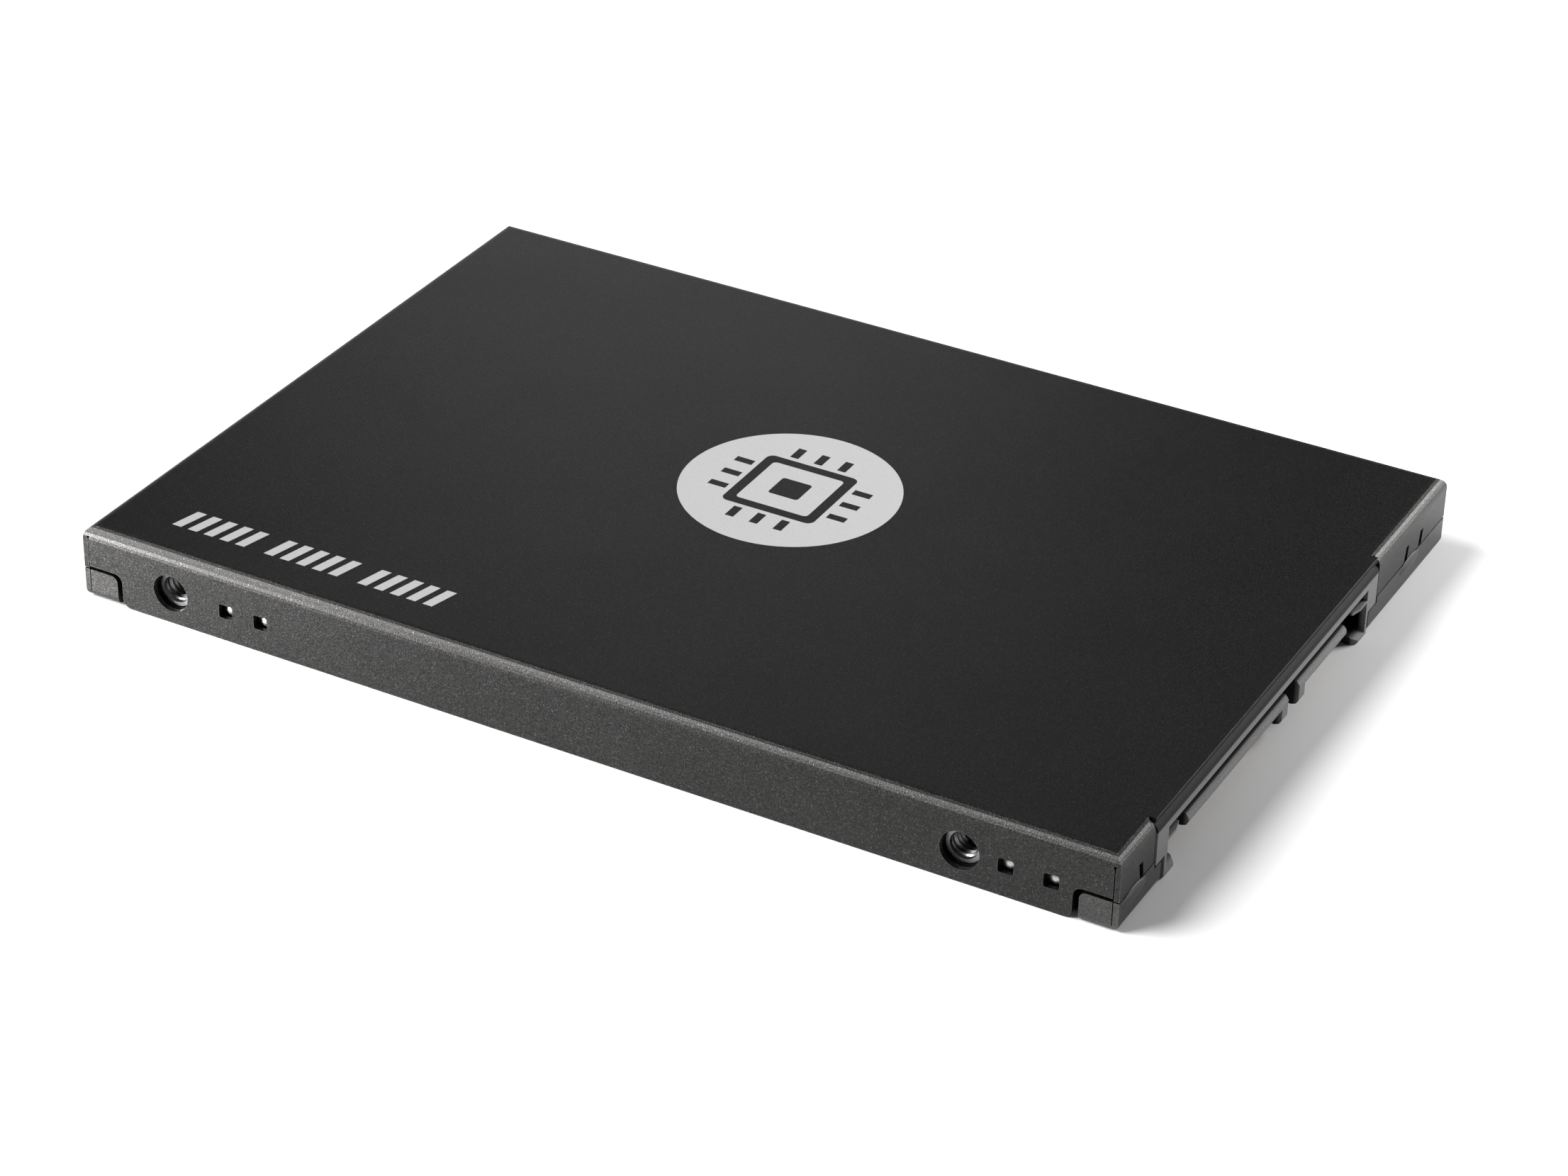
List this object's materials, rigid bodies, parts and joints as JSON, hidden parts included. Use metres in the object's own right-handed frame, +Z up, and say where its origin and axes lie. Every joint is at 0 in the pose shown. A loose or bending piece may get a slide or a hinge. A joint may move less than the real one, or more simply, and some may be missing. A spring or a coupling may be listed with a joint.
{
  "type": "solid state drive",
  "caption": "Flat 2.5 inch solid state drive in a two-part pressed metal case, with a SATA plug at one end and M3 side and base screw holes.",
  "frame": {"origin": "centre of the underside, at the middle of the overall box", "axes": "+X towards the connector end, +Y across the width with the signal half of the connector on the +Y side, +Z up through the printed top cover"},
  "size_m": [0.1002, 0.0698, 0.007],
  "materials": {
    "cover_coat": "fine-grained black coat, lightly metallic",
    "base_coat": "fine-grained dark grey coat",
    "connector_plastic": "moulded, lightly textured",
    "contact_gold": "gold plated, smooth",
    "block_steel": "plated, machined",
    "solder_mask": "satin solder mask with copper tracks beneath",
    "chip_epoxy": "matte moulded epoxy",
    "capacitor_body": "satin moulded",
    "ferrite": "matte sintered",
    "tin_plate": "tin plated",
    "thermal_pad": "soft, matte",
    "label_paper": "printed film, satin"
  },
  "bodies": {
    "base": {"bottom_cover": "base_coat", "mounting_block_1": "block_steel", "mounting_block_2": "block_steel", "mounting_block_3": "block_steel", "mounting_block_4": "block_steel", "connector_housing": "connector_plastic", "signal_contact_1": "contact_gold", "signal_contact_2": "contact_gold", "signal_contact_3": "contact_gold", "signal_contact_4": "contact_gold", "signal_contact_5": "contact_gold", "signal_contact_6": "contact_gold", "signal_contact_7": "contact_gold", "power_contact_1": "contact_gold", "power_contact_2": "contact_gold", "power_contact_3": "contact_gold", "power_contact_4": "contact_gold", "power_contact_5": "contact_gold", "power_contact_6": "contact_gold", "power_contact_7": "contact_gold", "power_contact_8": "contact_gold", "power_contact_9": "contact_gold", "power_contact_10": "contact_gold", "power_contact_11": "contact_gold", "power_contact_12": "contact_gold", "power_contact_13": "contact_gold", "power_contact_14": "contact_gold", "power_contact_15": "contact_gold", "circuit_board": "solder_mask", "controller_chip": "chip_epoxy", "thermal_pad": "thermal_pad", "flash_memory_1": "chip_epoxy", "flash_memory_2": "chip_epoxy", "flash_memory_3": "chip_epoxy", "flash_memory_4": "chip_epoxy", "memory_chip": "chip_epoxy", "power_regulator": "chip_epoxy", "inductor_1": "ferrite", "inductor_2": "ferrite", "crystal": "tin_plate", "capacitor_1": "capacitor_body", "capacitor_2": "capacitor_body", "capacitor_3": "capacitor_body", "capacitor_4": "capacitor_body", "board_screw_1": "block_steel", "board_screw_2": "block_steel", "board_screw_3": "block_steel", "board_screw_4": "block_steel", "rear_label": "label_paper"},
    "lid": {"top_cover": "cover_coat"}
  },
  "joints": [
    {"name": "cover_lift", "type": "slide", "parent": "base", "child": "lid", "axis": [0, 0, 1], "range_m": [0, 0.02]}
  ]
}
